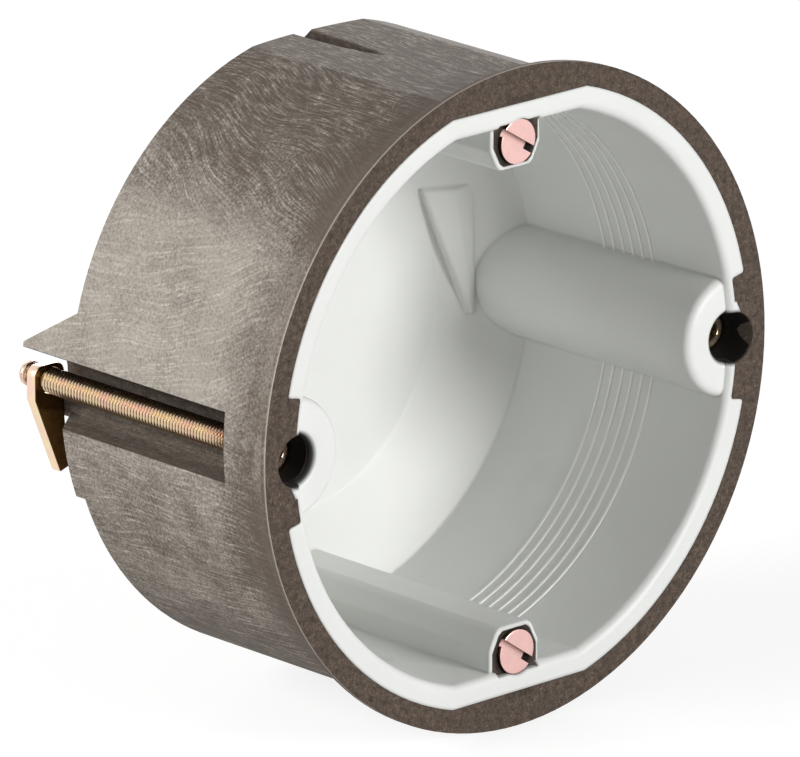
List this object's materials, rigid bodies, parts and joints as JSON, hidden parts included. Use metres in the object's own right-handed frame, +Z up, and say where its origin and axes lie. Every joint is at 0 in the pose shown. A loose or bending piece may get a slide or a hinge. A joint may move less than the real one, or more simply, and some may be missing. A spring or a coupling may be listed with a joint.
{
  "type": "fire-rated back box",
  "caption": "Round intumescent back box for plasterboard, with a flanged rim, white inner liner, slotted device screws and claws drawn up by side fixing screws.",
  "frame": {"origin": "centre of the opening, in the plane of the front rim", "axes": "+Y into the wall along the box's axis, +Z up through the upper device screw, +X to the right seen from the front"},
  "size_m": [0.0772, 0.0456, 0.0772],
  "materials": {
    "intumescent": "dull grey-brown moulding with streaks",
    "liner": "satin white moulding",
    "copper_plate": "pale copper plating",
    "yellow_zinc": "yellow passivated zinc"
  },
  "bodies": {
    "box": {"intumescent_shell": "intumescent", "inner_liner": "liner"},
    "device_screw_top": {"device_screw_top": "copper_plate"},
    "device_screw_bottom": {"device_screw_bottom": "copper_plate"},
    "fixing_screw_left": {"fixing_screw_left": "yellow_zinc"},
    "fixing_screw_right": {"fixing_screw_right": "yellow_zinc"},
    "claw_left": {"claw_left": "yellow_zinc"},
    "claw_right": {"claw_right": "yellow_zinc"}
  },
  "joints": [
    {"name": "device_screw_top_turn", "type": "hinge", "parent": "box", "child": "device_screw_top", "pos_m": [0, 0, 0.03], "axis": [0, 1, 0], "continuous": true},
    {"name": "device_screw_bottom_turn", "type": "hinge", "parent": "box", "child": "device_screw_bottom", "pos_m": [0, 0, -0.03], "axis": [0, 1, 0], "continuous": true},
    {"name": "fixing_screw_left_turn", "type": "hinge", "parent": "box", "child": "fixing_screw_left", "pos_m": [-0.0337, 0, 0], "axis": [0, 1, 0], "continuous": true},
    {"name": "fixing_screw_right_turn", "type": "hinge", "parent": "box", "child": "fixing_screw_right", "pos_m": [0.0337, 0, 0], "axis": [0, 1, 0], "continuous": true},
    {"name": "claw_left_swing", "type": "hinge", "parent": "box", "child": "claw_left", "pos_m": [-0.0337, 0, 0], "axis": [0, 1, 0], "range_deg": [0, 90]},
    {"name": "claw_right_swing", "type": "hinge", "parent": "box", "child": "claw_right", "pos_m": [0.0337, 0, 0], "axis": [0, 1, 0], "range_deg": [0, 90]}
  ]
}
